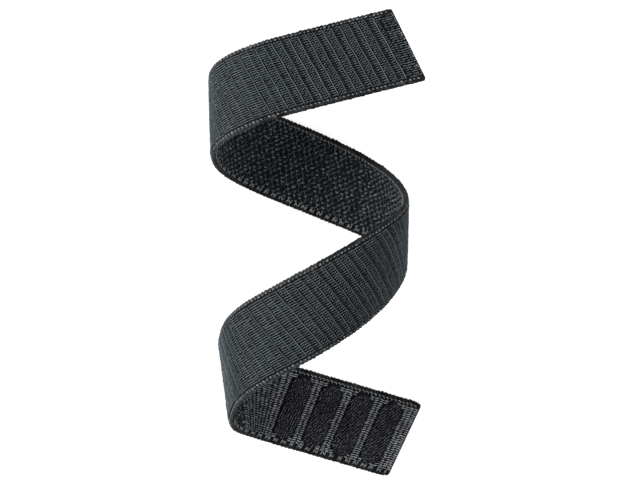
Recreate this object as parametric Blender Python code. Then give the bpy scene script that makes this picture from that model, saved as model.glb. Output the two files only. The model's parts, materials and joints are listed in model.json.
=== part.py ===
"""A woven hook and loop watch strap, lying in the curl it keeps, in metres with +Z up.

The strap is one narrow fabric, followed here from its hook end. That end lies flat with its hooks up, and
the rest rises from it in three bends to the free end. A place on the strap is three lengths: along, from
the hook end; across, from the middle of the width towards the top edge; and out, from the middle of the
thickness towards the loop face, which is the outside of the curl."""

import math

import bmesh
import bpy
from mathutils import Matrix, Vector

# The strap laid out flat
STRAP_LENGTH = 0.258
STRAP_WIDTH = 0.020
GROUND_THICKNESS = 0.0009
PILE_THICKNESS = 0.0008
CLEARANCE = 0.0003

# The woven edges and the heat-sealed ends
SELVEDGE_WIDTH = 0.0016
SELVEDGE_THICKNESS = 0.0015
SELVEDGE_ROUNDING = 0.0005
PILE_ROUNDING = 0.0003
HOOK_SEAL_LENGTH = 0.0006
FREE_SEAL_LENGTH = 0.0036
SEAL_THICKNESS = 0.0014
SEAL_ROUNDING = 0.0002

# The hook pads on the inner face, and the sewn bands beside them
PAD_COUNT = 4
PAD_WIDTH = 0.0051
PAD_MARGIN = 0.0004
PAD_HEIGHT = 0.0008
PAD_ROUNDING = 0.00025
PAD_END_SHARE = 0.49
END_BAND_WIDTH = 0.0026
BAND_WIDTH = 0.0020
BAND_HEIGHT = 0.0004
BAND_ROUNDING = 0.00015

# Each curl: its middle and its reach either way, as shares of the strap's length, and its turn in degrees
CURL_SHARES = (
    (0.176, 0.050, 87.0),
    (0.310, 0.106, 91.0),
    (0.517, 0.204, 107.0),
    (0.523, 0.050, 32.5),
    (0.756, 0.137, 126.5),
    (0.829, 0.096, 49.5),
)

# How the crease lines lean from square across the strap, in degrees, at these shares of its length
CREASE_SHARES = (
    (0.000, -9.0),
    (0.120, -5.0),
    (0.174, 25.0),
    (0.310, 18.5),
    (0.434, 46.0),
    (0.519, 7.5),
    (0.605, 46.5),
    (0.736, 23.5),
    (0.884, 1.5),
    (1.000, -9.0),
)

# The direction that the flat hook end points in, in degrees from +X, and the steps the curl is followed in
HOOK_END_HEADING = -14.6
WALK_STEPS = 1032

# The stretches that the strap is split into, each with the share of its length where it ends
STRETCH_SHARES = (
    ("hook_run", 0.167),
    ("bend_3", 0.244),
    ("front_run", 0.434),
    ("bend_2", 0.605),
    ("back_run", 0.729),
    ("bend_1", 0.822),
    ("free_run", 1.000),
)

# Where the strap flexes: the bend, the share of the length where its crease line lies, and what carries it
HINGE_SHARES = (
    ("bend_2", 0.513, "strap"),
    ("bend_3", 0.201, "bend_2"),
    ("bend_1", 0.775, "strap"),
)

# The hinge that each stretch moves with; the back run rests on the table and carries the others
CARRIERS = {
    "hook_run": "bend_3",
    "bend_3": "bend_2",
    "front_run": "bend_2",
    "bend_2": "strap",
    "back_run": "strap",
    "bend_1": "strap",
    "free_run": "bend_1",
}

# How finely the pieces are cut to bend, and their corners rounded
STATION_LENGTH = 0.0025
EDGE_SEGMENTS = 2
PAD_SEGMENTS = 5
ROUND_PROFILE = 0.5
RUNNING_SHARE = 0.99
SMOOTH_ANGLE = math.radians(40)

# Slate grey nylon, from the photographed strap
GROUND_COLOUR = (0.030, 0.034, 0.038)
LOOP_COLOUR = (0.048, 0.056, 0.062)
SELVEDGE_COLOUR = (0.060, 0.068, 0.074)
SEAL_COLOUR = (0.036, 0.041, 0.045)
PAD_COLOUR = (0.012, 0.012, 0.014)
BAND_COLOUR = (0.072, 0.080, 0.086)
FABRIC_ROUGHNESS = 0.85
SEAL_ROUGHNESS = 0.55

# The layers through the thickness, and the lines across the width
STRAP_THICKNESS = GROUND_THICKNESS + CLEARANCE + PILE_THICKNESS
INNER_FACE = -STRAP_THICKNESS / 2
OUTER_FACE = STRAP_THICKNESS / 2
GROUND_TOP = INNER_FACE + GROUND_THICKNESS
PILE_BOTTOM = OUTER_FACE - PILE_THICKNESS
EDGE = STRAP_WIDTH / 2
SELVEDGE_INSIDE = EDGE - SELVEDGE_WIDTH
WEB_EDGE = SELVEDGE_INSIDE - CLEARANCE

# The pads and bands that follow one another from the hook end, each pad as long as the space for it
PAD_SPAN = 2 * (SELVEDGE_INSIDE - PAD_MARGIN)
PAD_PITCH = PAD_WIDTH + BAND_WIDTH + 2 * CLEARANCE
FIRST_PAD_PLACE = HOOK_SEAL_LENGTH + END_BAND_WIDTH + 2 * CLEARANCE + PAD_WIDTH / 2


def turn_rate(along):
    """How sharply the strap curls at this place, in radians a metre."""
    rate = 0.0
    for middle_share, reach_share, turn in CURL_SHARES:
        reach = reach_share * STRAP_LENGTH
        offset = (along - middle_share * STRAP_LENGTH) / reach
        if abs(offset) < 1:
            rate += math.radians(turn) * (1 + math.cos(math.pi * offset)) / (2 * reach)
    return rate


def crease_slope(along):
    """How far the crease line through this place runs along the strap for each length across it."""
    share = min(max(along / STRAP_LENGTH, 0), 1)
    for (start, start_lean), (end, end_lean) in zip(CREASE_SHARES, CREASE_SHARES[1:]):
        if share <= end:
            part = (share - start) / (end - start)
            eased = part * part * (3 - 2 * part)
            before = math.tan(math.radians(start_lean))
            after = math.tan(math.radians(end_lean))
            return before + (after - before) * eased


def followed_strap():
    """The middle of the strap at every step: its place, and the directions onward, across and inward."""
    heading = math.radians(HOOK_END_HEADING)
    onward = Vector((-math.cos(heading), -math.sin(heading), 0))
    across = Vector((-math.sin(heading), math.cos(heading), 0))
    inward = Vector((0, 0, 1))
    place = Vector((0, 0, 0))
    stations = [(place, onward, across, inward)]
    step = STRAP_LENGTH / WALK_STEPS
    for index in range(WALK_STEPS):
        along = (index + 0.5) * step
        crease = across + crease_slope(along) * onward
        angle = turn_rate(along) * step * crease.length
        place = place + Matrix.Rotation(angle / 2, 3, crease) @ onward * step
        turn = Matrix.Rotation(angle, 3, crease)
        onward, across, inward = turn @ onward, turn @ across, turn @ inward
        stations.append((place, onward, across, inward))
    return stations


STATIONS = followed_strap()


def frame_at(along):
    """The middle of the strap at this place, and its crease and inward directions there."""
    position = min(max(along / STRAP_LENGTH, 0), 1) * WALK_STEPS
    index = min(int(position), WALK_STEPS - 1)
    part = position - index
    place, onward, across, inward = (
        before.lerp(after, part) for before, after in zip(STATIONS[index], STATIONS[index + 1])
    )
    return place, across + crease_slope(along) * onward, inward


def on_strap(along, across, out):
    """The point of the curled strap at this place on it."""
    place, crease, inward = frame_at(along)
    return place + across * crease - out * inward


def flat_block(start, end, near, far, inner, outer):
    """A block of the strap as it lies flat: along, across and out stand for X, Y and Z."""
    block = bmesh.new()
    bmesh.ops.create_cube(block, size=1)
    middle = Vector((start + end, near + far, inner + outer)) / 2
    size = Vector((end - start, far - near, outer - inner))
    for vert in block.verts:
        vert.co = middle + vert.co * size
    return block


def edges_running(block, axis):
    """The edges that run along X, Y or Z, given as 0, 1 or 2."""
    found = []
    for edge in block.edges:
        run = edge.verts[0].co - edge.verts[1].co
        if abs(run[axis]) > RUNNING_SHARE * run.length:
            found.append(edge)
    return found


def rounded(block, edges, width, segments=EDGE_SEGMENTS):
    bmesh.ops.bevel(block, geom=edges, offset=width, segments=segments, profile=ROUND_PROFILE,
                    affect="EDGES")


def cut_into_stations(block, start, end):
    """Cuts a block across at even places, so that it can bend."""
    cuts = math.ceil((end - start) / STATION_LENGTH) - 1
    if cuts > 0:
        bmesh.ops.subdivide_edges(block, edges=edges_running(block, 0), cuts=cuts)


def plain_material(name, colour, roughness):
    material = bpy.data.materials.new(name)
    material.use_nodes = True
    shader = material.node_tree.nodes["Principled BSDF"]
    shader.inputs["Base Color"].default_value = (*colour, 1)
    shader.inputs["Roughness"].default_value = roughness
    shader.inputs["Metallic"].default_value = 0
    material.diffuse_color = (*colour, 1)
    return material


def bent_piece(name, block, carrier, colour, roughness=FABRIC_ROUGHNESS):
    """Bends a flat block to the curl and makes it the named piece, carried by that hinge."""
    origin = HINGE_POINTS[carrier]
    for vert in block.verts:
        vert.co = on_strap(*vert.co) - origin
    mesh = bpy.data.meshes.new(name)
    block.to_mesh(mesh)
    block.free()
    mesh.shade_smooth()
    mesh.set_sharp_from_angle(angle=SMOOTH_ANGLE)
    mesh.materials.append(plain_material(name, colour, roughness))
    piece = bpy.data.objects.new(name, mesh)
    piece.parent = EMPTIES[carrier]
    PARTS.objects.link(piece)
    return piece


def add_woven_stretch(name, start, end):
    """The ground weave of one stretch, the loop face that it carries and the selvedges at its two edges."""
    carrier = CARRIERS[name]
    ground = flat_block(start, end, -WEB_EDGE, WEB_EDGE, INNER_FACE, GROUND_TOP)
    cut_into_stations(ground, start, end)
    bent_piece("webbing_" + name, ground, carrier, GROUND_COLOUR)

    pile = flat_block(start, end, -WEB_EDGE, WEB_EDGE, PILE_BOTTOM, OUTER_FACE)
    middle = PILE_BOTTOM + PILE_THICKNESS / 2
    crown_edges = [edge for edge in edges_running(pile, 0) if edge.verts[0].co.z > middle]
    rounded(pile, crown_edges, PILE_ROUNDING)
    cut_into_stations(pile, start, end)
    bent_piece("loop_face_" + name, pile, carrier, LOOP_COLOUR)

    for side, near, far in (("top", SELVEDGE_INSIDE, EDGE), ("bottom", -EDGE, -SELVEDGE_INSIDE)):
        cord = flat_block(start, end, near, far, INNER_FACE, INNER_FACE + SELVEDGE_THICKNESS)
        rounded(cord, edges_running(cord, 0), SELVEDGE_ROUNDING)
        cut_into_stations(cord, start, end)
        bent_piece(f"selvedge_{side}_{name}", cord, carrier, SELVEDGE_COLOUR)


def add_seal(name, start, end, carrier):
    """The end of the strap, where a hot knife has melted the yarns into one thin stiff edge."""
    seal = flat_block(start, end, -EDGE, EDGE, INNER_FACE, INNER_FACE + SEAL_THICKNESS)
    rounded(seal, edges_running(seal, 0), SEAL_ROUNDING)
    cut_into_stations(seal, start, end)
    bent_piece(name, seal, carrier, SEAL_COLOUR, SEAL_ROUGHNESS)


def add_hook_pad(number, middle):
    """One patch of hooks: a low pad with half-round ends, across the inner face."""
    top = INNER_FACE - CLEARANCE - PAD_HEIGHT
    pad = flat_block(middle - PAD_WIDTH / 2, middle + PAD_WIDTH / 2, -PAD_SPAN / 2, PAD_SPAN / 2, top,
                     INNER_FACE - CLEARANCE)
    rounded(pad, edges_running(pad, 2), PAD_WIDTH * PAD_END_SHARE, PAD_SEGMENTS)
    rim = [edge for edge in pad.edges if all(vert.co.z < top + PAD_HEIGHT / 2 for vert in edge.verts)]
    rounded(pad, rim, PAD_ROUNDING, 1)
    bent_piece(f"hook_pad_{number}", pad, CARRIERS["hook_run"], PAD_COLOUR)


def add_stitch_band(number, start, width):
    """The columns of stitches that start here and fill the space before the next pad."""
    bottom = INNER_FACE - CLEARANCE
    top = bottom - BAND_HEIGHT
    band = flat_block(start, start + width, -WEB_EDGE, WEB_EDGE, top, bottom)
    rim = [edge for edge in edges_running(band, 1) if edge.verts[0].co.z < top + BAND_HEIGHT / 2]
    rounded(band, rim, BAND_ROUNDING)
    bent_piece(f"stitch_band_{number}", band, CARRIERS["hook_run"], BAND_COLOUR)


for old in list(bpy.data.objects):
    bpy.data.objects.remove(old)

PARTS = bpy.data.collections.new("hook_and_loop_watch_strap")
bpy.context.scene.collection.children.link(PARTS)

# One empty stands for the whole strap, and one on each crease line that a stretch turns about
HINGE_POINTS = {"strap": Vector((0, 0, 0))}
EMPTIES = {"strap": bpy.data.objects.new("strap", None)}
for hinge, place_share, held_by in HINGE_SHARES:
    HINGE_POINTS[hinge] = on_strap(place_share * STRAP_LENGTH, 0, 0)
    EMPTIES[hinge] = bpy.data.objects.new(hinge + "_hinge", None)
    EMPTIES[hinge].parent = EMPTIES[held_by]
    EMPTIES[hinge].location = HINGE_POINTS[hinge] - HINGE_POINTS[held_by]
for empty in EMPTIES.values():
    empty.empty_display_size = STRAP_WIDTH / 2
    PARTS.objects.link(empty)

stretch_start = HOOK_SEAL_LENGTH + CLEARANCE
for stretch, end_share in STRETCH_SHARES:
    stretch_end = end_share * STRAP_LENGTH - CLEARANCE
    if stretch == STRETCH_SHARES[-1][0]:
        stretch_end = stretch_end - FREE_SEAL_LENGTH
    add_woven_stretch(stretch, stretch_start, stretch_end)
    stretch_start = stretch_end + CLEARANCE

add_seal("hook_end_seal", 0, HOOK_SEAL_LENGTH, CARRIERS["hook_run"])
add_seal("free_end_seal", STRAP_LENGTH - FREE_SEAL_LENGTH, STRAP_LENGTH, CARRIERS["free_run"])

add_stitch_band(1, HOOK_SEAL_LENGTH + CLEARANCE, END_BAND_WIDTH)
for pad_number in range(PAD_COUNT):
    pad_place = FIRST_PAD_PLACE + pad_number * PAD_PITCH
    add_hook_pad(pad_number + 1, pad_place)
    add_stitch_band(pad_number + 2, pad_place + PAD_WIDTH / 2 + CLEARANCE, BAND_WIDTH)

# The origin goes under the middle of the strap, on the table that it lies on
bpy.context.view_layer.update()
corners = [piece.matrix_world @ vert.co for piece in PARTS.objects if piece.type == "MESH"
           for vert in piece.data.vertices]
lowest = [min(corner[axis] for corner in corners) for axis in range(3)]
highest = [max(corner[axis] for corner in corners) for axis in range(3)]
EMPTIES["strap"].location = (-(lowest[0] + highest[0]) / 2, -(lowest[1] + highest[1]) / 2, -lowest[2])
bpy.context.view_layer.update()
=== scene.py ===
"""The looks of a woven hook and loop watch strap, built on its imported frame, in metres with +Z up."""

import json
import math

import bpy
import numpy as np
from mathutils import Matrix, Vector


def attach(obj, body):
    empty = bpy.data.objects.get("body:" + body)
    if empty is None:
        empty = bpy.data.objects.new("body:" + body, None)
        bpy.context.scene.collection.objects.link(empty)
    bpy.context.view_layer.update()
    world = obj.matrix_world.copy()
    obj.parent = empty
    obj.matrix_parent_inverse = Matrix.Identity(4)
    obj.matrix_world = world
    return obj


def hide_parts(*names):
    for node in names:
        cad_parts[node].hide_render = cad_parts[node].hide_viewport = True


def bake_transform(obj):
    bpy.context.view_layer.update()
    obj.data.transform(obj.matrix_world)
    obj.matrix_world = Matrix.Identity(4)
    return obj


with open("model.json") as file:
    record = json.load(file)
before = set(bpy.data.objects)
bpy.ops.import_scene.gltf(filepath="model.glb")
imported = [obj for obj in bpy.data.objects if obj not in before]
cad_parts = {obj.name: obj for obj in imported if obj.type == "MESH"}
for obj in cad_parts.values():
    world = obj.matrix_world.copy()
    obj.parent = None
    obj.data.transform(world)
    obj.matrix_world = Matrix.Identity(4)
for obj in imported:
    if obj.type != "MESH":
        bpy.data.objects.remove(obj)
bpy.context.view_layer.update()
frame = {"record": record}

# Ground weave
# The strap is one narrow tape of woven nylon. Its ground is the sheet that all else is woven or sewn into,
# toned nearly black as painted shade, for the shade between the yarns where it shows. It keeps the curl of
# the
# solid parts: flat at the hook end, then three bends, which turn about crease lines that run aslant.
STRAP_LENGTH = 0.258
STRAP_WIDTH = 0.020

# The strap sets out from its hook end at this heading, in degrees. Its curl is followed from there in
# steps, and the crease line through a place on the flat tape is found in rounds
HOOK_END_HEADING = -14.6
WALK_STEPS = 1032
CREASE_ROUNDS = 12

# Each turn of the curl: its middle and its reach as shares of the strap's length, and its degrees
CURL_SHARES = (
    (0.176, 0.050, 87.0),
    (0.310, 0.106, 91.0),
    (0.517, 0.204, 107.0),
    (0.523, 0.050, 32.5),
    (0.756, 0.137, 126.5),
    (0.829, 0.096, 49.5),
)

# Crease lines of the bends: a share of the strap's length, and how far the line there leans, in degrees
CREASE_SHARES = (
    (0.000, -9.0),
    (0.120, -5.0),
    (0.174, 25.0),
    (0.310, 18.5),
    (0.434, 46.0),
    (0.519, 7.5),
    (0.605, 46.5),
    (0.736, 23.5),
    (0.884, 1.5),
    (1.000, -9.0),
)

# The cloth is shown in three lengths, each of which holds one bend: the bend, the shares of the strap
# where the length starts and ends, the bodies at its two ends, and the heights where it leaves the first of
# them and where it has joined the other
CLOTH_LENGTHS = (
    ("bend_3", 0.0, 0.341, "hook_run", "front_run", 0.0025, 0.034),
    ("bend_2", 0.341, 0.667, "front_run", "back_run", 0.034, 0.003),
    ("bend_1", 0.667, 1.0, "back_run", "free_run", 0.003, 0.0215),
)

GROUND_OUTER = 0.00042
GROUND_INNER = -0.00078
GROUND_HALF_WIDTH = 0.0086
GROUND_STEP = 0.0008
GROUND_ROUNDING = 0.0002
# Painted shade: the ground is toned nearly black, for the shade that falls between the yarns
GROUND_SHADE_TONE = 0.1
GROUND_FILAMENTS = 5000.0
GROUND_DARK = (0.003, 0.0035, 0.004)
GROUND_LIGHT = (0.026, 0.030, 0.033)
SMOOTH_ANGLE = math.radians(50)

# The radii of the corners at the two ends, and a power that keeps their rounding near the edge
HOOK_CORNER = 0.0010
FREE_CORNER = 0.0006
CORNER_POWER = 8


def turn_rate(along):
    """How sharply the strap curls at this place, in radians a metre."""
    rate = 0.0
    for middle_share, reach_share, turn in CURL_SHARES:
        reach = reach_share * STRAP_LENGTH
        offset = (along - middle_share * STRAP_LENGTH) / reach
        if abs(offset) < 1:
            rate += math.radians(turn) * (1 + math.cos(math.pi * offset)) / (2 * reach)
    return rate


def crease_slope(along):
    """How far the crease line through this place runs along the strap for each length across it."""
    share = min(max(along / STRAP_LENGTH, 0), 1)
    for (start, start_lean), (end, end_lean) in zip(CREASE_SHARES, CREASE_SHARES[1:]):
        if share <= end:
            part = (share - start) / (end - start)
            eased = part * part * (3 - 2 * part)
            before = math.tan(math.radians(start_lean))
            after = math.tan(math.radians(end_lean))
            return before + (after - before) * eased


def followed_strap():
    """The middle of the strap at every step: its place, and the directions onward, across and inward."""
    heading = math.radians(HOOK_END_HEADING)
    onward = Vector((-math.cos(heading), -math.sin(heading), 0))
    across = Vector((-math.sin(heading), math.cos(heading), 0))
    inward = Vector((0, 0, 1))
    place = Vector((0, 0, 0))
    stations = [(*place, *onward, *across, *inward)]
    step = STRAP_LENGTH / WALK_STEPS
    for index in range(WALK_STEPS):
        along = (index + 0.5) * step
        crease = across + crease_slope(along) * onward
        angle = turn_rate(along) * step * crease.length
        place = place + Matrix.Rotation(angle / 2, 3, crease) @ onward * step
        turn = Matrix.Rotation(angle, 3, crease)
        onward, across, inward = turn @ onward, turn @ across, turn @ inward
        stations.append((*place, *onward, *across, *inward))
    return np.array(stations)


STATIONS = followed_strap()
STATION_PLACES = np.linspace(0, STRAP_LENGTH, WALK_STEPS + 1)
STATION_TURNS = np.array([turn_rate(along) for along in STATION_PLACES])
STATION_SLOPES = np.array([crease_slope(along) for along in STATION_PLACES])
STATION_SLOPE_RATES = np.gradient(STATION_SLOPES, STATION_PLACES)


def on_curl(along, across, out):
    """The points of the curled strap at these places on it, along its crease lines."""
    held = np.clip(along, 0, STRAP_LENGTH)
    place, onward, square, inward = (
        np.stack([np.interp(held, STATION_PLACES, column) for column in columns.T], axis=1)
        for columns in np.split(STATIONS, 4, axis=1)
    )
    crease = square + np.interp(held, STATION_PLACES, STATION_SLOPES)[:, None] * onward
    return place + (along - held)[:, None] * onward + across[:, None] * crease - out[:, None] * inward


def crease_place(flat_along, across):
    """The place along the middle of the strap of the crease line that passes through this flat point."""
    along = flat_along.copy()
    for _ in range(CREASE_ROUNDS):
        held = np.clip(along, 0, STRAP_LENGTH)
        slope = np.interp(held, STATION_PLACES, STATION_SLOPES)
        rate = np.interp(held, STATION_PLACES, STATION_SLOPE_RATES)
        along = along - (along + across * slope - flat_along) / (1 + across * rate)
    return along


# The strap's place comes from the middle of its second hook pad's face, where the solid part has a mount
PAD_FACE_PLACE = (0.01405, 0.0, -0.0021)
pad_face = next(mount for mount in frame["record"]["mounts"] if mount["name"] == "hook_pad_face")
SHIFT = np.array(pad_face["pos_m"]) - on_curl(*(np.array([value]) for value in PAD_FACE_PLACE))[0]


def read_points(mesh):
    """The mesh's points as rows of three numbers."""
    points = np.empty(len(mesh.vertices) * 3)
    mesh.vertices.foreach_get("co", points)
    return points.reshape(-1, 3)


def write_attribute(mesh, name, kind, values):
    """Gives each point of a mesh its own value, which the materials can read by name."""
    attribute = mesh.attributes.new(name, kind, "POINT")
    attribute.data.foreach_set("vector" if kind == "FLOAT_VECTOR" else "value", values.ravel())


def tone_evenly(piece, tone):
    """Gives all of a piece one tone, from 0 for its yarn's dark colour to 1 for its light one."""
    write_attribute(piece.data, "tone", "FLOAT", np.full(len(piece.data.vertices), tone))


def round_corners(flat):
    """Draws in what lies at the strap's four corners, which are cut round."""
    for corner, from_end in ((HOOK_CORNER, flat[:, 0]), (FREE_CORNER, STRAP_LENGTH - flat[:, 0])):
        short = corner - np.clip(from_end, 0, corner)
        inset = corner - np.sqrt(corner ** 2 - short ** 2)
        flat[:, 1] -= np.sign(flat[:, 1]) * inset * (np.abs(flat[:, 1]) / (STRAP_WIDTH / 2)) ** CORNER_POWER


def curl_piece(piece, follows_creases):
    """Curls a flat piece, and keeps its flat places as an attribute that its yarns' pattern follows.

    A piece that follows the creases has its X measured along the middle of the strap to the crease line
    through each point. Any other piece has it measured along the flat tape."""
    mesh = piece.data
    flat = read_points(mesh)
    if follows_creases:
        along = flat[:, 0].copy()
        round_corners(flat)
        flat[:, 0] = along + flat[:, 1] * np.interp(along, STATION_PLACES, STATION_SLOPES)
    else:
        along = crease_place(flat[:, 0], flat[:, 1])
        cut = np.column_stack([along, flat[:, 1]])
        round_corners(cut)
        flat[:, 1] = cut[:, 1]
    write_attribute(mesh, "laid", "FLOAT_VECTOR", flat)
    mesh.vertices.foreach_set("co", (on_curl(along, flat[:, 1], flat[:, 2]) + SHIFT).ravel())
    mesh.update()


def finish_piece(piece, name, material, nodes):
    """Names a piece, gives it its material, smooths it, and hides the solid parts it stands for."""
    piece.name = name
    piece.data.name = name
    piece.data.materials.clear()
    piece.data.materials.append(material)
    piece.data.shade_smooth()
    piece.data.set_sharp_from_angle(angle=SMOOTH_ANGLE)
    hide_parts(*nodes)


def flex(piece):
    """Bakes a piece's transform into its points."""
    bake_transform(piece)


def flat_sheet(start, end, near, far, inner, outer, step, rounding):
    """A sheet of the strap with an even grid of faces and rounded edges, as it lies flat."""
    bpy.ops.object.select_all(action="DESELECT")
    steps_along = max(2, math.ceil((end - start) / step))
    steps_across = max(2, math.ceil((far - near) / step))
    bpy.ops.mesh.primitive_grid_add(x_subdivisions=steps_along, y_subdivisions=steps_across, size=1)
    sheet = bpy.context.object
    for vert in sheet.data.vertices:
        vert.co.x = start + (vert.co.x + 0.5) * (end - start)
        vert.co.y = near + (vert.co.y + 0.5) * (far - near)
        vert.co.z = inner
    wall = sheet.modifiers.new("wall", "SOLIDIFY")
    wall.thickness = outer - inner
    wall.offset = 1
    bpy.ops.object.modifier_apply(modifier="wall")
    edge = sheet.modifiers.new("edge", "BEVEL")
    edge.width = rounding
    edge.segments = 2
    edge.limit_method = "ANGLE"
    edge.angle_limit = SMOOTH_ANGLE
    bpy.ops.object.modifier_apply(modifier="edge")
    return sheet


# Filaments and mottling are counted by the metre, and filaments run long along the tape
FILAMENTS = 9000.0
FILAMENT_DRAW = (0.35, 1.0, 1.0)
FILAMENT_DETAIL = 2.0
FILAMENT_SHADE = 0.35
MOTTLES = 140.0
MOTTLE_DETAIL = 3.0
MOTTLE_SHADE = 0.15
SMOOTHEST_YARN = 0.62
ROUGHEST_YARN = 0.88
YARN_SHEEN = 0.06
SHEEN_ROUGHNESS = 0.4
YARN_GLOSS = 0.06
YARN_RELIEF = 0.00004
RELIEF_STRENGTH = 0.6


def yarn_group():
    """Spun nylon: fine filaments along the yarn, shade by shade, with soft mottling from end to end."""
    tree = bpy.data.node_groups.new("spun_yarn", "ShaderNodeTree")
    given_sockets = (("Laid", "Vector"), ("Tone", "Float"), ("Dark", "Color"), ("Light", "Color"),
                     ("Filaments", "Float"))
    for name, kind in given_sockets:
        tree.interface.new_socket(name=name, in_out="INPUT", socket_type=f"NodeSocket{kind}")
    for name, kind in (("Color", "Color"), ("Roughness", "Float"), ("Height", "Float")):
        tree.interface.new_socket(name=name, in_out="OUTPUT", socket_type=f"NodeSocket{kind}")
    nodes, links = tree.nodes, tree.links
    given = nodes.new("NodeGroupInput")
    made = nodes.new("NodeGroupOutput")

    drawn_out = nodes.new("ShaderNodeVectorMath")
    drawn_out.operation = "MULTIPLY"
    drawn_out.inputs[1].default_value = FILAMENT_DRAW
    links.new(given.outputs["Laid"], drawn_out.inputs[0])

    filaments = nodes.new("ShaderNodeTexNoise")
    filaments.inputs["Detail"].default_value = FILAMENT_DETAIL
    links.new(drawn_out.outputs["Vector"], filaments.inputs["Vector"])
    links.new(given.outputs["Filaments"], filaments.inputs["Scale"])

    mottle = nodes.new("ShaderNodeTexNoise")
    mottle.inputs["Scale"].default_value = MOTTLES
    mottle.inputs["Detail"].default_value = MOTTLE_DETAIL
    links.new(given.outputs["Laid"], mottle.inputs["Vector"])

    # The shade is the tone, nudged up and down by the filaments and by the mottling
    fine = nodes.new("ShaderNodeMath")
    fine.operation = "MULTIPLY_ADD"
    fine.inputs[1].default_value = FILAMENT_SHADE
    links.new(filaments.outputs["Fac"], fine.inputs[0])
    links.new(given.outputs["Tone"], fine.inputs[2])
    broad = nodes.new("ShaderNodeMath")
    broad.operation = "MULTIPLY_ADD"
    broad.inputs[1].default_value = MOTTLE_SHADE
    links.new(mottle.outputs["Fac"], broad.inputs[0])
    links.new(fine.outputs["Value"], broad.inputs[2])
    shade = nodes.new("ShaderNodeMath")
    shade.operation = "SUBTRACT"
    shade.use_clamp = True
    shade.inputs[1].default_value = (FILAMENT_SHADE + MOTTLE_SHADE) / 2
    links.new(broad.outputs["Value"], shade.inputs[0])

    colour = nodes.new("ShaderNodeMix")
    colour.data_type = "RGBA"
    links.new(shade.outputs["Value"], colour.inputs["Factor"])
    links.new(given.outputs["Dark"], colour.inputs["A"])
    links.new(given.outputs["Light"], colour.inputs["B"])
    links.new(colour.outputs["Result"], made.inputs["Color"])

    rough = nodes.new("ShaderNodeMapRange")
    rough.inputs["To Min"].default_value = SMOOTHEST_YARN
    rough.inputs["To Max"].default_value = ROUGHEST_YARN
    links.new(filaments.outputs["Fac"], rough.inputs["Value"])
    links.new(rough.outputs["Result"], made.inputs["Roughness"])
    links.new(filaments.outputs["Fac"], made.inputs["Height"])
    return tree


SPUN_YARN = yarn_group()


def yarn_material(name, dark, light, filaments=FILAMENTS, relief=YARN_RELIEF, sheen=YARN_SHEEN,
                  gloss=YARN_GLOSS):
    """Yarn in two colours, shaded from one to the other by the tone of each loop or stitch."""
    material = bpy.data.materials.new(name)
    material.use_nodes = True
    nodes, links = material.node_tree.nodes, material.node_tree.links
    shader = nodes["Principled BSDF"]
    shader.inputs["Sheen Weight"].default_value = sheen
    shader.inputs["Sheen Roughness"].default_value = SHEEN_ROUGHNESS
    shader.inputs["Specular IOR Level"].default_value = gloss
    laid = nodes.new("ShaderNodeAttribute")
    laid.attribute_name = "laid"
    tone = nodes.new("ShaderNodeAttribute")
    tone.attribute_name = "tone"
    yarn = nodes.new("ShaderNodeGroup")
    yarn.node_tree = SPUN_YARN
    yarn.inputs["Dark"].default_value = (*dark, 1)
    yarn.inputs["Light"].default_value = (*light, 1)
    yarn.inputs["Filaments"].default_value = filaments
    links.new(laid.outputs["Vector"], yarn.inputs["Laid"])
    links.new(tone.outputs["Fac"], yarn.inputs["Tone"])
    links.new(yarn.outputs["Color"], shader.inputs["Base Color"])
    links.new(yarn.outputs["Roughness"], shader.inputs["Roughness"])
    bump = nodes.new("ShaderNodeBump")
    bump.inputs["Strength"].default_value = RELIEF_STRENGTH
    bump.inputs["Distance"].default_value = relief
    links.new(yarn.outputs["Height"], bump.inputs["Height"])
    links.new(bump.outputs["Normal"], shader.inputs["Normal"])
    return material


ground_material = yarn_material("ground_weave", GROUND_DARK, GROUND_LIGHT, GROUND_FILAMENTS, sheen=0)
for bend, start_share, end_share, before, after, low, high in CLOTH_LENGTHS:
    ground = flat_sheet(start_share * STRAP_LENGTH, end_share * STRAP_LENGTH, -GROUND_HALF_WIDTH,
                        GROUND_HALF_WIDTH, GROUND_INNER, GROUND_OUTER, GROUND_STEP, GROUND_ROUNDING)
    # The ground's tone is painted shade
    tone_evenly(ground, GROUND_SHADE_TONE)
    curl_piece(ground, follows_creases=True)
    finish_piece(ground, f"ground_weave_at_{bend}", ground_material,
                 (f"webbing_{before}", f"webbing_{bend}", f"webbing_{after}"))
    flex(ground)

# Loop face
# The outer face is all loops: rows of yarn run along the tape, and lines of weft draw them down in ribs. In
# each rib one low hump runs from line to line, two loops lean after the strong line, and one stands like a
# rung against the next strong line. The bends draw all of them straight, level and thin, and tone them
# paler as painted sheen.
WEFT_LEAN = 12.0
RIB_PITCH = 0.00425
LAST_WEFT = STRAP_LENGTH - 0.0050
ROW_PITCH = 0.0006
LOOP_ROWS = 29
LOOP_BASE = 0.00036
LOOP_THICKNESS = 0.00023
LOOP_HEIGHT = 0.00060
LOOP_YARN_SHARE = 0.17
SPARE_RIBS = 2

# Each kind of loop in a rib: its place and its length as shares of the rib, its lean in degrees, its height
# as a share of the tallest, its tone, and how much the tone varies
LOOP_COLUMNS = (
    (0.180, 0.240, 24.0, 0.90, 0.78, 0.12),
    (0.370, 0.250, 25.0, 1.00, 0.84, 0.12),
    (0.500, 0.960, 0.0, 0.62, 0.25, 0.04),
    (0.850, 0.280, 4.0, 1.00, 0.90, 0.12),
)

# A loop that a bend draws loses this share of its lean, and comes to this share of the tallest height, this
# share of its own thickness and this paler tone, which is painted sheen. A bend of this radius or less
# draws it fully
DRAWN_STRAIGHT_SHARE = 0.95
DRAWN_HEIGHT_SHARE = 0.58
DRAWN_THICKNESS_SHARE = 0.76
DRAWN_SHEEN_TONE = 0.98
FULL_BEND_RADIUS = 0.018

LOOP_DARK = (0.003, 0.0035, 0.004)
LOOP_LIGHT = (0.245, 0.292, 0.318)
CLOTH_ENDS = (0.0005, STRAP_LENGTH - 0.0034)
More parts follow.
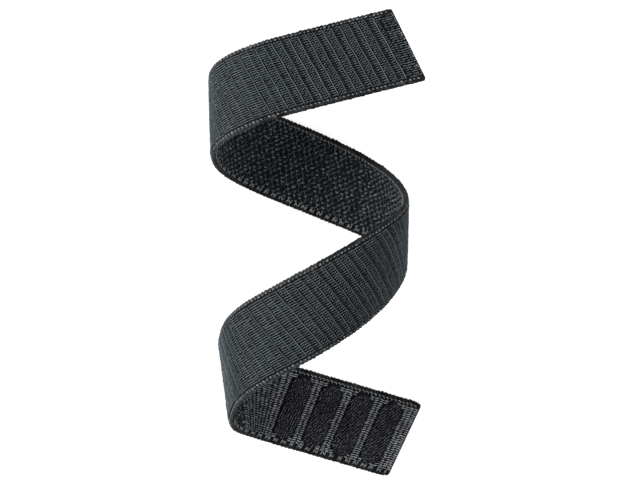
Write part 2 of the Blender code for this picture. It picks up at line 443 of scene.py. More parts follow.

# Painted shade on each copy: the tone left at the foot of a loop, and the part of it that goes on its
# flanks
PAINTED_DEPTH_SHADE = 0.25
PAINTED_FLANK_SHADE = 0.65

# How far chance takes each loop or stitch off its mark: in shares of its size, in tone, and in degrees of
# lean for the whole of its size
LOOSENESS = 0.07
TONE_SPREAD = 0.12
LOOSE_LEAN = 60.0

chance = np.random.default_rng(seed=3)


def finish_editing():
    """Turns the faces of the mesh in edit mode outwards and leaves edit mode."""
    bpy.ops.mesh.select_all(action="SELECT")
    bpy.ops.mesh.normals_make_consistent(inside=False)
    bpy.ops.object.mode_set(mode="OBJECT")


def arch_seed(steps, yarn):
    """Half a ring of yarn in a box one unit long, wide and high, which is copied for every loop or stitch.

    The yarn's radius is given as a share of the box."""
    bpy.ops.object.select_all(action="DESELECT")
    bpy.ops.mesh.primitive_circle_add(vertices=5, radius=yarn, fill_type="NGON",
                                      location=(yarn - 0.5, 0, 0))
    bpy.ops.object.transform_apply(location=True, rotation=False, scale=False)
    arch = bpy.context.object
    bpy.ops.object.mode_set(mode="EDIT")
    bpy.ops.mesh.select_all(action="SELECT")
    bpy.ops.mesh.spin(steps=steps, angle=-math.pi, center=(0, 0, 0), axis=(0, 1, 0))
    finish_editing()
    arch.scale = (1, 0.5 / yarn, 2)
    arch.location = (0, 0, -0.5)
    bpy.ops.object.transform_apply(location=True, rotation=False, scale=True)
    return arch


def round_seed(segments, rings):
    """One plump bead in a box one unit long, wide and high."""
    bpy.ops.object.select_all(action="DESELECT")
    bpy.ops.mesh.primitive_uv_sphere_add(segments=segments, ring_count=rings, radius=0.5,
                                         rotation=(0, math.pi / 2, 0))
    bpy.ops.object.transform_apply(location=False, rotation=True, scale=False)
    return bpy.context.object


def scattered(along, across, out, lean, size, tone, looseness=LOOSENESS, tone_spread=TONE_SPREAD):
    """Places, leans, sizes and tones of a kind of loop or stitch, each a little off its mark by chance."""
    number = len(along)
    places = np.stack([along, across, np.broadcast_to(out, number)], axis=1)
    places += chance.normal(0, looseness, (number, 3)) * size
    leans = lean + chance.normal(0, LOOSE_LEAN * looseness, number)
    sizes = chance.normal(1, looseness, (number, 3)) * size
    tones = np.clip(tone + chance.normal(0, tone_spread, number), 0, 1)
    return places, leans, sizes, tones


def copied(seed, places, leans, sizes, tones):
    """An object of copies of the seed at flat places, each turned on the cloth by its lean in degrees.

    A copy is darker, as painted shade, where it goes down into the cloth and on the flanks that face its
    neighbours."""
    model = seed.data
    count = len(model.vertices)
    unit = read_points(model)[None]
    shape = unit * sizes[:, None, :]
    turn = np.radians(leans)[:, None]
    points = np.stack([
        shape[:, :, 0] * np.cos(turn) - shape[:, :, 1] * np.sin(turn),
        shape[:, :, 0] * np.sin(turn) + shape[:, :, 1] * np.cos(turn),
        shape[:, :, 2],
    ], axis=2) + places[:, None, :]
    corners = np.empty(len(model.loops), dtype=np.int32)
    model.loops.foreach_get("vertex_index", corners)
    starts = np.empty(len(model.polygons), dtype=np.int32)
    model.polygons.foreach_get("loop_start", starts)
    copy = np.arange(len(places))[:, None]
    mesh = bpy.data.meshes.new(seed.name)
    mesh.vertices.add(len(places) * count)
    mesh.vertices.foreach_set("co", points.ravel())
    mesh.loops.add(len(places) * len(corners))
    mesh.loops.foreach_set("vertex_index", (corners + copy * count).ravel())
    mesh.polygons.add(len(places) * len(starts))
    mesh.polygons.foreach_set("loop_start", (starts + copy * len(corners)).ravel())
    mesh.update(calc_edges=True)
    # Painted shade: each copy's tone is darkened towards its foot and on its flanks
    height = np.clip(unit[:, :, 2] + 0.5, 0, 1)
    flank = np.clip(2 * np.abs(unit[:, :, 1]), 0, 1)
    painted_shades = (PAINTED_DEPTH_SHADE + (1 - PAINTED_DEPTH_SHADE) * height) * (1 - PAINTED_FLANK_SHADE * flank)
    write_attribute(mesh, "tone", "FLOAT", tones[:, None] * painted_shades)
    piece = bpy.data.objects.new(seed.name, mesh)
    bpy.context.scene.collection.objects.link(piece)
    return piece


def cloth_pieces(name, seed, kinds, material, nodes, ends=CLOTH_ENDS):
    """Copies of the seed all along the strap, as three pieces that each take in one bend."""
    places, leans, sizes, tones = (np.concatenate(parts) for parts in zip(*kinds))
    at_crease = crease_place(places[:, 0], places[:, 1])
    reach = sizes[:, 0] / 2
    inside = (at_crease - reach > ends[0]) & (at_crease + reach < ends[1])
    for bend, start_share, end_share, before, after, low, high in CLOTH_LENGTHS:
        here = inside & (at_crease >= start_share * STRAP_LENGTH) & (at_crease < end_share * STRAP_LENGTH)
        piece = copied(seed, places[here], leans[here], sizes[here], tones[here])
        curl_piece(piece, follows_creases=False)
        finish_piece(piece, f"{name}_at_{bend}", material,
                     [f"{node}_{stretch}" for node in nodes for stretch in (before, bend, after)])
        flex(piece)
    bpy.data.objects.remove(seed)


def weft_shift(across):
    """How far a line of weft has moved along the tape at this distance across it."""
    return -across * math.tan(math.radians(WEFT_LEAN))


def bend_share(along, across):
    """How far the bend at these flat places draws the yarns, from 0 on the flat to 1 where it is sharp."""
    turn = np.interp(crease_place(along, across), STATION_PLACES, STATION_TURNS)
    return np.clip(turn * FULL_BEND_RADIUS, 0, 1) ** 2


def grid_of(first, second):
    """Every pair of the first and the second values, as two long rows."""
    return (values.ravel() for values in np.meshgrid(first, second))


rib_numbers = np.arange(-SPARE_RIBS, math.ceil(STRAP_LENGTH / RIB_PITCH) + SPARE_RIBS + 1)
rib_starts = LAST_WEFT - rib_numbers * RIB_PITCH
row_places = (np.arange(LOOP_ROWS) - (LOOP_ROWS - 1) / 2) * ROW_PITCH
loop_kinds = []
for share, length_share, lean, height_share, tone, tone_spread in LOOP_COLUMNS:
    start, across = grid_of(rib_starts, row_places)
    along = start + share * RIB_PITCH + weft_shift(across)
    drawn = DRAWN_STRAIGHT_SHARE * bend_share(along, across)
    height = LOOP_HEIGHT * (height_share + (DRAWN_HEIGHT_SHARE - height_share) * drawn)
    thickness = LOOP_THICKNESS * (1 - (1 - DRAWN_THICKNESS_SHARE) * drawn)
    size = np.stack([np.full(len(along), length_share * RIB_PITCH), thickness, height], axis=1)
    # Painted sheen: a drawn loop's tone is raised towards the paler tone of the bends
    loop_kinds.append(scattered(along, across, LOOP_BASE + height / 2, lean * (1 - drawn), size,
                                tone + (DRAWN_SHEEN_TONE - tone) * drawn, tone_spread=tone_spread))
loop_material = yarn_material("loop_pile", LOOP_DARK, LOOP_LIGHT)
cloth_pieces("loops", arch_seed(steps=6, yarn=LOOP_YARN_SHARE), loop_kinds, loop_material,
             ("loop_face",))

# Weft lines
# Two lines of weft a rib cross the loops from selvedge to selvedge, one proud and bright and one lower.
# They are single yarns, which dip between the rows of loops, wander a little, sink in and dim where the
# strap bends, and dive in at the selvedges.
WEFT_HALF_SPAN = 0.0087
WEFT_RIPPLE = 0.00005
WEFT_WANDER = 0.00006
WANDER_LENGTH = 0.0083
WANDER_RIBS = 2.7
WEFT_DIVE = 0.0005
WEFT_DIVE_LENGTH = 0.0005
WEFT_SINK = 0.00024
WEFT_FADE = 0.40
WEFT_TONE_SPREAD = 0.07
FIRST_WEFT = 0.0025

# Each line of a rib: its place as a share of the rib, its thickness, its height and its tone
WEFT_KINDS = ((0.0, 0.00022, 0.00075, 0.60), (0.5, 0.00020, 0.00072, 0.48))

weft_material = yarn_material("weft_lines", LOOP_DARK, LOOP_LIGHT)
bpy.ops.object.select_all(action="DESELECT")
bpy.ops.mesh.primitive_circle_add(vertices=6, radius=0.5, fill_type="NGON", rotation=(math.pi / 2, 0, 0),
                                  location=(0, -WEFT_HALF_SPAN, 0))
bpy.ops.object.transform_apply(location=True, rotation=True, scale=False)
weft_seed = bpy.context.object
bpy.ops.object.mode_set(mode="EDIT")
bpy.ops.mesh.select_all(action="SELECT")
for _ in range(2 * LOOP_ROWS):
    bpy.ops.mesh.extrude_region_move(TRANSFORM_OT_translate={"value": (0, WEFT_HALF_SPAN / LOOP_ROWS, 0)})
finish_editing()

weft_kinds = []
for share, thickness, out, tone in WEFT_KINDS:
    number = len(rib_starts)
    places = np.stack([rib_starts + share * RIB_PITCH, np.zeros(number), np.full(number, out)], axis=1)
    tones = np.clip(tone + chance.normal(0, WEFT_TONE_SPREAD, number), 0, 1)
    weft_kinds.append((places, np.zeros(number), np.tile([thickness, 1.0, thickness], (number, 1)), tones))
weft_places, weft_leans, weft_sizes, weft_tones = (np.concatenate(parts) for parts in zip(*weft_kinds))
at_crease = crease_place(weft_places[:, 0], weft_places[:, 1])
for bend, start_share, end_share, before, after, low, high in CLOTH_LENGTHS:
    here = (at_crease > start_share * STRAP_LENGTH) & (at_crease <= end_share * STRAP_LENGTH)
    here &= (at_crease > FIRST_WEFT) & (at_crease < LAST_WEFT + RIB_PITCH / 4)
    wefts = copied(weft_seed, weft_places[here], weft_leans[here], weft_sizes[here], weft_tones[here])
    points = read_points(wefts.data)
    dive = np.clip((np.abs(points[:, 1]) - WEFT_HALF_SPAN) / WEFT_DIVE_LENGTH + 1, 0, 1)
    points[:, 2] += WEFT_RIPPLE * np.cos(2 * math.pi * points[:, 1] / ROW_PITCH) - WEFT_DIVE * dive ** 2
    wander = 2 * math.pi * (points[:, 1] / WANDER_LENGTH + points[:, 0] / (WANDER_RIBS * RIB_PITCH))
    points[:, 0] += weft_shift(points[:, 1]) + WEFT_WANDER * np.sin(wander)
    bends = bend_share(points[:, 0], points[:, 1])
    points[:, 2] -= WEFT_SINK * bends
    wefts.data.vertices.foreach_set("co", points.ravel())
    tones = np.empty(len(points))
    wefts.data.attributes["tone"].data.foreach_get("value", tones)
    wefts.data.attributes["tone"].data.foreach_set("value", tones * (1 - WEFT_FADE * bends))
    curl_piece(wefts, follows_creases=False)
    finish_piece(wefts, f"weft_lines_at_{bend}", weft_material, ())
    flex(wefts)
bpy.data.objects.remove(weft_seed)

# Selvedges
# At each edge the weft turns back round a tight cord of warp. Every turn is a wrap over the edge, toned
# dark as painted shade, which gives it scallops, and shows on the outer face as a pale bead, large and
# small by turns. On the inner face the bottom selvedge has stitches like the letter N, and the top one
# small hooked ones.
SELVEDGE_INSIDE = 0.0083
SELVEDGE_EDGE = 0.0098
SELVEDGE_OUTER = 0.00032
SELVEDGE_INNER = -0.00055
SELVEDGE_ROUNDING = 0.0003
# Painted shade: the cord is toned nearly black where it shows between the wraps
CORD_SHADE_TONE = 0.02
SELVEDGE_DARK = (0.002, 0.0023, 0.0026)
SELVEDGE_LIGHT = (0.330, 0.346, 0.358)
EDGE_ENDS = (0.0005, STRAP_LENGTH - 0.0004)
TURN_PITCH = 0.00104
SPARE_TURNS = 4

# A wrap is one ring of yarn round the selvedge's section, toned dark as painted shade. A bend opens the
# wraps, so that each is shorter along the tape, and paler there, where less painted shade is laid on it
WRAP_INSIDE = 0.0087
WRAP_EDGE = 0.01003
WRAP_SIZE = (0.00175, WRAP_EDGE - WRAP_INSIDE, 0.00114)
WRAP_LEAN = 20.0
WRAP_YARN_SHARE = 0.14
WRAP_SHADE_TONE = 0.06
OPENED_WRAP_TONE = 0.20
OPENED_WRAP_SHARE = 0.5
WRAP_LOOSENESS = 0.03
WRAP_TONE_SPREAD = 0.05

# The large and the small bead: their sizes and tones
BEAD_KINDS = (((0.00062, 0.00044, 0.00042), 0.80), ((0.00048, 0.00038, 0.00038), 0.58))
BEAD_ACROSS = 0.00920
BEAD_OUT = 0.00044
BEAD_LOOSENESS = 0.09

# Specks of yarn lie in the edge between the wraps, toned dark there as painted shade, and show best where a
# bend opens them and tones them paler. Each kind has its place as a share of a turn, and its height
EDGE_SPECKS = ((0.25, -0.00002), (0.75, -0.00034))
SPECK_SIZE = (0.00040, 0.00022, 0.00028)
SPECK_INSET = 0.00011
SPECK_SHADE_TONE = 0.12
OPENED_SPECK_TONE = 0.55

# The three strokes of an N, every second turn: place as a share of a turn, lean in degrees, and tone
N_STITCHES = ((-0.40, 108.0, 0.80), (0.0, 48.0, 1.00), (0.40, 108.0, 0.95))
N_ACROSS = 0.00880
N_SIZE = (0.00130, 0.00036, 0.00040)

# The two strokes of a hooked stitch, every turn: distance across the tape, share of a turn, lean and tone
HOOKED_STITCHES = ((0.00905, 0.10, 12.0, 0.90), (0.00880, -0.22, 98.0, 0.95))
HOOKED_SIZE = (0.00068, 0.00034, 0.00042)
INNER_STITCH_OUT = -0.00078
STITCH_YARN_SHARE = 0.16

selvedge_material = yarn_material("selvedge_yarn", SELVEDGE_DARK, SELVEDGE_LIGHT)
for bend, start_share, end_share, before, after, low, high in CLOTH_LENGTHS:
    for side, name in ((1, "top"), (-1, "bottom")):
        near, far = sorted((side * SELVEDGE_INSIDE, side * SELVEDGE_EDGE))
        cord = flat_sheet(start_share * STRAP_LENGTH, end_share * STRAP_LENGTH, near, far, SELVEDGE_INNER,
                          SELVEDGE_OUTER, GROUND_STEP, SELVEDGE_ROUNDING)
        # The cord's tone is painted shade
        tone_evenly(cord, CORD_SHADE_TONE)
        curl_piece(cord, follows_creases=True)
        finish_piece(cord, f"selvedge_cord_{name}_at_{bend}", selvedge_material,
                     [f"selvedge_{name}_{stretch}" for stretch in (before, bend, after)])
        flex(cord)


def turned_over(size):
    """The size of a copy that stands on the inner face, which is the outer one turned upside down."""
    return (size[0], -size[1], -size[2])


turn_count = math.ceil(STRAP_LENGTH / TURN_PITCH) + 2 * SPARE_TURNS
turn_starts = (np.arange(turn_count) - SPARE_TURNS) * TURN_PITCH
wrap_kinds, bead_kinds = [], []
for side in (1, -1):
    along = turn_starts + weft_shift(side * BEAD_ACROSS)
    opened = bend_share(along, np.full(turn_count, side * BEAD_ACROSS))
    sizes = np.tile(WRAP_SIZE, (turn_count, 1))
    sizes[:, 0] *= 1 - (1 - OPENED_WRAP_SHARE) * opened
    # Painted shade: wraps are toned dark, and paler where a bend opens them
    wrap_kinds.append(scattered(along, np.full(turn_count, side * (WRAP_INSIDE + WRAP_EDGE) / 2),
                                (SELVEDGE_OUTER + SELVEDGE_INNER) / 2, side * WRAP_LEAN, sizes,
                                WRAP_SHADE_TONE + (OPENED_WRAP_TONE - WRAP_SHADE_TONE) * opened,
                                WRAP_LOOSENESS, WRAP_TONE_SPREAD))
    speck_across = np.full(turn_count, side * (WRAP_EDGE - SPECK_INSET))
    # Painted shade: specks are toned dark between the wraps, and paler where a bend opens them
    speck_tones = SPECK_SHADE_TONE + (OPENED_SPECK_TONE - SPECK_SHADE_TONE) * opened
    for share, out in EDGE_SPECKS:
        bead_kinds.append(scattered(along + share * TURN_PITCH, speck_across, out, 0, SPECK_SIZE,
                                    speck_tones))
    for turn, (size, tone) in enumerate(BEAD_KINDS):
        here = along[turn::len(BEAD_KINDS)]
        bead_kinds.append(scattered(here, np.full(len(here), side * BEAD_ACROSS), BEAD_OUT,
                                    side * WRAP_LEAN, size, tone, BEAD_LOOSENESS))
cloth_pieces("selvedge_beads", round_seed(segments=8, rings=6), bead_kinds, selvedge_material,
             (), EDGE_ENDS)

stitch_kinds = []
for share, lean, tone in N_STITCHES:
    along = turn_starts[::2] + share * TURN_PITCH
    stitch_kinds.append(scattered(along, np.full(len(along), -N_ACROSS), INNER_STITCH_OUT, lean,
                                  turned_over(N_SIZE), tone))
for across, share, lean, tone in HOOKED_STITCHES:
    along = turn_starts + share * TURN_PITCH
    stitch_kinds.append(scattered(along, np.full(turn_count, across), INNER_STITCH_OUT, lean,
                                  turned_over(HOOKED_SIZE), tone))
cloth_pieces("selvedge_stitches", arch_seed(steps=6, yarn=STITCH_YARN_SHARE), stitch_kinds,
             selvedge_material, ())

bpy.ops.object.select_all(action="DESELECT")
bpy.ops.mesh.primitive_torus_add(major_segments=12, minor_segments=6, major_radius=0.5 - WRAP_YARN_SHARE,
                                 minor_radius=WRAP_YARN_SHARE, rotation=(0, math.pi / 2, 0))
wrap_seed = bpy.context.object
bpy.ops.object.transform_apply(location=False, rotation=True, scale=False)
wrap_seed.scale = (0.5 / WRAP_YARN_SHARE, 1, 1)
bpy.ops.object.transform_apply(location=False, rotation=False, scale=True)
cloth_pieces("selvedge_wraps", wrap_seed, wrap_kinds, selvedge_material, (), EDGE_ENDS)

# Inner face
# The inner face, which lies on the wrist, is plain: the loops only show here where they pass under a weft,
# as small grey seeds in a staggered pattern, joined by dimmer stitches into a net on the dark ground.
SEED_PITCH_ALONG = 0.00156
SEED_PITCH_ACROSS = 0.00101
SEED_ROWS = 17
SPARE_SEEDS = 3
SEED_OUT = -0.00084
SEED_SIZE = (0.00105, 0.00046, 0.00046)
SEED_LEAN = -10.0
SEED_YARN_SHARE = 0.20
SEED_TONE = 0.62
SEED_LOOSENESS = 0.15
SEED_TONE_SPREAD = 0.22
LINK_SIZE = (0.00100, 0.00026, 0.00030)
LINK_LEANS = (62.0, -50.0)
LINK_TONE = 0.34
LINK_LOOSENESS = 0.13
LINK_TONE_SPREAD = 0.18
INNER_DARK = (0.0025, 0.003, 0.0035)
INNER_LIGHT = (0.248, 0.304, 0.334)
DENSE_LENGTH = 0.0440

inner_material = yarn_material("inner_weave", INNER_DARK, INNER_LIGHT)
seed_steps = np.arange(math.ceil(STRAP_LENGTH / SEED_PITCH_ALONG) + 2 * SPARE_SEEDS) - SPARE_SEEDS
step, row = grid_of(seed_steps, np.arange(SEED_ROWS) - (SEED_ROWS - 1) // 2)
across = row * SEED_PITCH_ACROSS
along = (step + 0.5 * (row % 2)) * SEED_PITCH_ALONG + weft_shift(across)
plain = crease_place(along, across) > DENSE_LENGTH
along, across = along[plain], across[plain]
inner_kinds = [scattered(along, across, SEED_OUT, SEED_LEAN, turned_over(SEED_SIZE), SEED_TONE,
                         SEED_LOOSENESS, SEED_TONE_SPREAD)]
for side, lean in zip((1, -1), LINK_LEANS):
    inner_kinds.append(scattered(along + side * SEED_PITCH_ALONG / 4, across + SEED_PITCH_ACROSS / 2,
                                 SEED_OUT, lean, turned_over(LINK_SIZE), LINK_TONE, LINK_LOOSENESS,
                                 LINK_TONE_SPREAD))
cloth_pieces("inner_seeds", arch_seed(steps=5, yarn=SEED_YARN_SHARE), inner_kinds, inner_material,
             ())

# Hook pads
# Four patches of hooks are moulded on to the inner face at the hook end: a thin black sheet with half-round
# ends, on which short stiff hooks stand in slanting rows. Each hook leans over the way its row runs.
PAD_COUNT = 4
FIRST_PAD_PLACE = 0.00635
PAD_PITCH = 0.0077
PAD_WIDTH = 0.0051
PAD_SPAN = 0.0160
PAD_SHEET_TOP = -0.00145
PAD_SHEET_BOTTOM = -0.00085
PAD_SHEET_ROUNDING = 0.0001
PAD_TONE = 0.05
HOOK_THICKNESS = 0.00021
HOOK_STEM = 0.00026
HOOK_BEND = 0.00019
HOOK_TURN = math.radians(150)
HOOK_ROW_PITCH = 0.00063
HOOK_STEP = 0.00056
HOOK_ROW_LEANS = (-58.0, -66.0, -64.0, -84.0)
ROWS_EACH_WAY = 24
HOOK_SCATTER = 0.00009
HOOK_MARGIN = 0.00008
HOOK_TONE = 0.5
HOOK_TONE_SPREAD = 0.32
HOOK_GLOSS = 0.4
HOOK_FILAMENTS = 3000.0
HOOK_DARK = (0.003, 0.003, 0.0035)
HOOK_LIGHT = (0.202, 0.212, 0.240)
SMALL = 0.000001


def in_pad(along, across, middle, margin):
    """Whether a place lies on the pad, a stadium across the strap, or within the margin round it."""
    radius = PAD_WIDTH / 2
    beyond = np.maximum(np.abs(across) - (PAD_SPAN / 2 - radius), 0)
    return np.hypot(along - middle, beyond) < radius + margin


pad_material = yarn_material("pad_sheet", HOOK_DARK, HOOK_LIGHT, HOOK_FILAMENTS, sheen=0)
hook_material = yarn_material("hook_monofilament", HOOK_DARK, HOOK_LIGHT, HOOK_FILAMENTS, sheen=0,
                              gloss=HOOK_GLOSS)
bpy.ops.object.select_all(action="DESELECT")
bpy.ops.mesh.primitive_circle_add(vertices=5, radius=HOOK_THICKNESS / 2, fill_type="NGON")
hook_seed = bpy.context.object
bpy.ops.object.mode_set(mode="EDIT")
bpy.ops.mesh.select_all(action="SELECT")
bpy.ops.mesh.extrude_region_move(TRANSFORM_OT_translate={"value": (0, 0, HOOK_STEM)})
bpy.ops.mesh.spin(steps=4, angle=-HOOK_TURN, center=(HOOK_BEND, 0, HOOK_STEM), axis=(0, 1, 0))
finish_editing()

for pad_number in range(PAD_COUNT):
    middle = FIRST_PAD_PLACE + pad_number * PAD_PITCH
    bpy.ops.object.select_all(action="DESELECT")
    bpy.ops.mesh.primitive_cylinder_add(vertices=40, radius=PAD_WIDTH / 2,
                                        depth=PAD_SHEET_BOTTOM - PAD_SHEET_TOP)
    pad = bpy.context.object
    reach = PAD_SPAN / 2 - PAD_WIDTH / 2
    for vert in pad.data.vertices:
        if abs(vert.co.y) > SMALL:
            vert.co.y += math.copysign(reach, vert.co.y)
        vert.co.x += middle
        vert.co.z += (PAD_SHEET_TOP + PAD_SHEET_BOTTOM) / 2
    edge = pad.modifiers.new("edge", "BEVEL")
    edge.width = PAD_SHEET_ROUNDING
    edge.segments = 2
    edge.limit_method = "ANGLE"
    bpy.ops.object.modifier_apply(modifier="edge")
    tone_evenly(pad, PAD_TONE)
    curl_piece(pad, follows_creases=True)
    finish_piece(pad, f"hook_pad_sheet_{pad_number + 1}", pad_material,
                 (f"hook_pad_{pad_number + 1}",))
    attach(pad, "hook_run")

    each_way = np.arange(-ROWS_EACH_WAY, ROWS_EACH_WAY + 1)
    row, step = grid_of(each_way, each_way)
    lean = math.radians(HOOK_ROW_LEANS[pad_number])
    run = (step + 0.5 * (row % 2)) * HOOK_STEP
    along = middle + run * math.cos(lean) - row * HOOK_ROW_PITCH * math.sin(lean)
    across = run * math.sin(lean) + row * HOOK_ROW_PITCH * math.cos(lean)
    along = along + chance.normal(0, HOOK_SCATTER, len(along))
    across = across + chance.normal(0, HOOK_SCATTER, len(across))
    held = in_pad(along, across, middle, -HOOK_MARGIN)
    hook_kind = scattered(along[held], across[held], PAD_SHEET_TOP, math.degrees(lean),
                          turned_over((1, 1, 1)), HOOK_TONE, looseness=0, tone_spread=HOOK_TONE_SPREAD)
    hooks = copied(hook_seed, *hook_kind)
    curl_piece(hooks, follows_creases=True)
    finish_piece(hooks, f"hooks_{pad_number + 1}", hook_material, ())
    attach(hooks, "hook_run")
bpy.data.objects.remove(hook_seed)

# Stitch bands
# Before, between and past the pads, and round their ends, the inner face is held down by close columns of
# grey stitches, which lean a little this way and that. The last ones reach to where the strap starts
# to rise, and are toned darker there as painted shade of the rising strap.
STITCH_SIZE = (0.00118, 0.00036, 0.00042)
STITCH_PITCH = 0.00056
STITCH_ROWS = 30
STITCH_OUT = -0.00098
STITCH_COLUMN_PITCH = 0.00115
STITCH_LEANS = (12.0, -10.0)
END_BAND_MIDDLE = 0.0019
END_BAND_COLUMNS = (-1, 0, 1, 2, 3)
BAND_COLUMNS = 6
BAND_TONE = 0.78
SEWN_LENGTH = 0.0345
# Painted shade: the stitches past the pads are toned darker, as the rising strap shades them
PAST_PADS_SHADE_TONE = 0.48
STITCH_MARGIN = 0.00030
HOOK_END_MARGIN = 0.00060
STITCH_DARK = (0.0035, 0.0035, 0.004)
STITCH_LIGHT = (0.520, 0.545, 0.590)

stitch_material = yarn_material("stitch_thread", STITCH_DARK, STITCH_LIGHT)
stitch_seed = arch_seed(steps=6, yarn=STITCH_YARN_SHARE)
stitch_rows = (np.arange(STITCH_ROWS) - (STITCH_ROWS - 1) / 2) * STITCH_PITCH


def stitch_kind(columns, low, high, tone):
    """The stitches of some columns that lie between two places along the strap, and not on a pad."""
    number, across = grid_of(np.arange(len(columns)), stitch_rows)
    along = columns[number]
    held = (along > low) & (along < high)
    for pad_number in range(PAD_COUNT):
        held &= ~in_pad(along, across, FIRST_PAD_PLACE + pad_number * PAD_PITCH, STITCH_MARGIN)
    places, leans, sizes, tones = scattered(along[held], across[held], STITCH_OUT, 0,
                                            turned_over(STITCH_SIZE), tone)
    leans += np.where(number[held] % 2 == 0, *STITCH_LEANS)
    return places, leans, sizes, tones


band_middles = [END_BAND_MIDDLE, *(FIRST_PAD_PLACE + (np.arange(PAD_COUNT) + 0.5) * PAD_PITCH)]
even_columns = np.arange(BAND_COLUMNS) - (BAND_COLUMNS - 1) / 2
band_offsets = [np.array(END_BAND_COLUMNS)] + [even_columns] * PAD_COUNT
for band_number, (middle, offsets) in enumerate(zip(band_middles, band_offsets)):
    low = max(HOOK_END_MARGIN, middle - PAD_PITCH / 2)
    high = SEWN_LENGTH if band_number == PAD_COUNT else min(middle + PAD_PITCH / 2, SEWN_LENGTH)
    kind = stitch_kind(middle + offsets * STITCH_COLUMN_PITCH, low, high, BAND_TONE)
    stitches = copied(stitch_seed, *kind)
    curl_piece(stitches, follows_creases=True)
    finish_piece(stitches, f"stitches_{band_number + 1}", stitch_material,
                 (f"stitch_band_{band_number + 1}",))
    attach(stitches, "hook_run")

bend, start_share, end_share, before, after, low, high = CLOTH_LENGTHS[0]
dense_columns = np.arange(SEWN_LENGTH + STITCH_COLUMN_PITCH / 2, DENSE_LENGTH, STITCH_COLUMN_PITCH)
# These stitches carry the painted shade of the rising strap
dense = copied(stitch_seed, *stitch_kind(dense_columns, SEWN_LENGTH, DENSE_LENGTH, PAST_PADS_SHADE_TONE))
curl_piece(dense, follows_creases=True)
finish_piece(dense, "stitches_past_the_pads", stitch_material, ())
flex(dense)
bpy.data.objects.remove(stitch_seed)

# Hook-end seal
# The hook end is cut with a hot knife, which melts the yarns of all layers into one thin dark edge, so that
# nothing frays there.
HOOK_SEAL_LENGTH = 0.0006
HOOK_SEAL_INNER = -0.00095
HOOK_SEAL_OUTER = 0.00035
HOOK_SEAL_ROUNDING = 0.00018
HOOK_SEAL_TONE = 0.2
SEAL_HALF_WIDTH = 0.0099
SEAL_STEP = 0.0003
SEAL_FILAMENTS = 2500.0
SEAL_RELIEF = 0.00008
SEAL_DARK = (0.004, 0.0045, 0.005)
SEAL_LIGHT = (0.050, 0.054, 0.058)

seal_material = yarn_material("sealed_edge", SEAL_DARK, SEAL_LIGHT, SEAL_FILAMENTS, SEAL_RELIEF)
hook_seal = flat_sheet(0, HOOK_SEAL_LENGTH, -SEAL_HALF_WIDTH, SEAL_HALF_WIDTH, HOOK_SEAL_INNER,
                       HOOK_SEAL_OUTER, SEAL_STEP, HOOK_SEAL_ROUNDING)
tone_evenly(hook_seal, HOOK_SEAL_TONE)
curl_piece(hook_seal, follows_creases=True)
finish_piece(hook_seal, "hook_end_melt", seal_material, ("hook_end_seal",))
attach(hook_seal, "hook_run")

# Free-end seal
# The free end is pressed as well as cut: the last loops of each row are matted flat, with a dark melted rim
# and small pale nubs where single yarns have balled up.
FREE_SEAL_LENGTH = 0.0036
FREE_SEAL_INNER = -0.00092
FREE_SEAL_OUTER = 0.00042
FREE_SEAL_ROUNDING = 0.0002
FREE_SEAL_TONE = 0.1
MATTED_COLUMNS = 3
MATTED_PITCH = 0.00105
MATTED_START_SHARE = 0.45
MATTED_SIZE = (0.00128, 0.00025, 0.00046)
MATTED_OUT = 0.00052
MATTED_LEAN = 8.0
MATTED_TONE = 0.66
MATTED_LOOSENESS = 0.10
MATTED_TONE_SPREAD = 0.18
NUB_PLACE = 0.00048
NUB_OUT = 0.00066
NUB_SIZE = (0.00046, 0.00036, 0.00044)
NUB_SHARE = 0.92
NUB_TONE = 1.0
NUB_LOOSENESS = 0.22
NUB_TONE_SPREAD = 0.15

free_seal = flat_sheet(STRAP_LENGTH - FREE_SEAL_LENGTH, STRAP_LENGTH, -SEAL_HALF_WIDTH, SEAL_HALF_WIDTH,
                       FREE_SEAL_INNER, FREE_SEAL_OUTER, SEAL_STEP, FREE_SEAL_ROUNDING)
tone_evenly(free_seal, FREE_SEAL_TONE)
curl_piece(free_seal, follows_creases=True)
finish_piece(free_seal, "free_end_melt", seal_material, ("free_end_seal",))
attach(free_seal, "free_run")

matted_steps = (np.arange(MATTED_COLUMNS) + MATTED_START_SHARE) * MATTED_PITCH
along, across = grid_of(STRAP_LENGTH - FREE_SEAL_LENGTH + matted_steps, row_places)
mat_seed = arch_seed(steps=6, yarn=LOOP_YARN_SHARE)
matted = copied(mat_seed, *scattered(along, across, MATTED_OUT, MATTED_LEAN, MATTED_SIZE, MATTED_TONE,
                                     MATTED_LOOSENESS, MATTED_TONE_SPREAD))
bpy.data.objects.remove(mat_seed)
curl_piece(matted, follows_creases=True)
finish_piece(matted, "matted_loops", loop_material, ())
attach(matted, "free_run")

nub_rows = row_places[chance.random(len(row_places)) < NUB_SHARE]
nub_seed = round_seed(segments=6, rings=5)
nubs = copied(nub_seed, *scattered(np.full(len(nub_rows), STRAP_LENGTH - NUB_PLACE), nub_rows, NUB_OUT, 0,
                                   NUB_SIZE, NUB_TONE, NUB_LOOSENESS, NUB_TONE_SPREAD))
bpy.data.objects.remove(nub_seed)
curl_piece(nubs, follows_creases=True)
finish_piece(nubs, "melted_nubs", selvedge_material, ())
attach(nubs, "free_run")

# Studio
# The strap lies on a plain pale floor, under soft light from the left and a weaker lamp on the right. The
# camera looks down on it from where the photograph was taken.
FLOOR_DROP = 0.0002
FLOOR_SIZE = 4.0
FLOOR_GREY = (0.55, 0.55, 0.55, 1)
FLOOR_GLOW = 0.70
WHITE = (1, 1, 1, 1)
SKY_LIGHT = 0.28
LAMP_SIZE = 0.5
LEFT_LAMP_PLACE = (-0.85, 0.20, 0.34)
LEFT_LAMP_POWER = 13.0
RIGHT_LAMP_PLACE = (0.55, -0.20, 0.65)
RIGHT_LAMP_POWER = 4.6

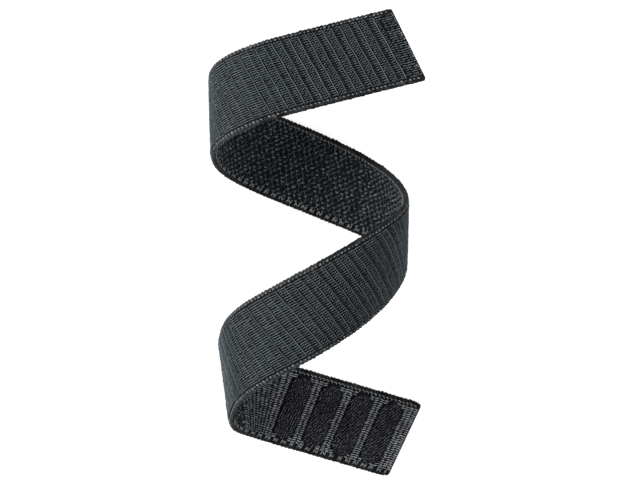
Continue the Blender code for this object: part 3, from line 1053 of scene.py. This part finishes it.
# The camera is turned about an axis whose length gives the degrees
CAMERA_PLACE = (-0.088187, 0.000883, 0.945717)
CAMERA_TURN = (-0.0941, -5.4333, 1.8032)
SENSOR_WIDTH = 36.0
LENS = 213.906
NEAREST_SEEN = 0.01


def white_to_camera(nodes, links):
    """A mask of the rays that see the background: straight from the camera, or mirrored or bent first."""
    path = nodes.new("ShaderNodeLightPath")
    mirrored = nodes.new("ShaderNodeMath")
    mirrored.operation = "MAXIMUM"
    links.new(path.outputs["Is Camera Ray"], mirrored.inputs[0])
    links.new(path.outputs["Is Glossy Ray"], mirrored.inputs[1])
    bent = nodes.new("ShaderNodeMath")
    bent.operation = "MAXIMUM"
    links.new(mirrored.outputs["Value"], bent.inputs[0])
    links.new(path.outputs["Is Transmission Ray"], bent.inputs[1])
    return bent.outputs["Value"]


bpy.ops.object.select_all(action="DESELECT")
bpy.ops.mesh.primitive_plane_add(size=FLOOR_SIZE, location=(0, 0, -FLOOR_DROP))
floor = bpy.context.object
floor.name = "floor"
floor_material = bpy.data.materials.new("pale_floor")
floor_material.use_nodes = True
nodes, links = floor_material.node_tree.nodes, floor_material.node_tree.links
nodes["Principled BSDF"].inputs["Base Color"].default_value = FLOOR_GREY
nodes["Principled BSDF"].inputs["Roughness"].default_value = 1
nodes["Principled BSDF"].inputs["Specular IOR Level"].default_value = 0
nodes["Principled BSDF"].inputs["Emission Color"].default_value = WHITE
glow = nodes.new("ShaderNodeMath")
glow.operation = "MULTIPLY"
glow.inputs[1].default_value = FLOOR_GLOW
links.new(white_to_camera(nodes, links), glow.inputs[0])
links.new(glow.outputs["Value"], nodes["Principled BSDF"].inputs["Emission Strength"])
floor.data.materials.append(floor_material)

world = bpy.data.worlds.new("studio")
bpy.context.scene.world = world
world.use_nodes = True
nodes, links = world.node_tree.nodes, world.node_tree.links
strength = nodes.new("ShaderNodeMapRange")
strength.inputs["To Min"].default_value = SKY_LIGHT
strength.inputs["To Max"].default_value = 1
links.new(white_to_camera(nodes, links), strength.inputs["Value"])
nodes["Background"].inputs["Color"].default_value = WHITE
links.new(strength.outputs["Result"], nodes["Background"].inputs["Strength"])


def soft_lamp(name, place, power):
    """A square lamp that faces the middle of the strap."""
    lamp = bpy.data.lights.new(name, "AREA")
    lamp.shape = "SQUARE"
    lamp.size = LAMP_SIZE
    lamp.energy = power
    holder = bpy.data.objects.new(name, lamp)
    holder.location = place
    holder.rotation_euler = (-Vector(place)).to_track_quat("-Z", "Y").to_euler()
    bpy.context.scene.collection.objects.link(holder)


soft_lamp("left_lamp", LEFT_LAMP_PLACE, LEFT_LAMP_POWER)
soft_lamp("right_lamp", RIGHT_LAMP_PLACE, RIGHT_LAMP_POWER)

camera = bpy.data.cameras.new("camera")
camera.sensor_width = SENSOR_WIDTH
camera.lens = LENS
camera.clip_start = NEAREST_SEEN
viewer = bpy.data.objects.new("camera", camera)
turn = Vector(CAMERA_TURN)
viewer.matrix_world = Matrix.Translation(CAMERA_PLACE) @ Matrix.Rotation(math.radians(turn.length), 4, turn)
bpy.context.scene.collection.objects.link(viewer)
bpy.context.scene.camera = viewer
bpy.context.scene.view_settings.view_transform = "Standard"
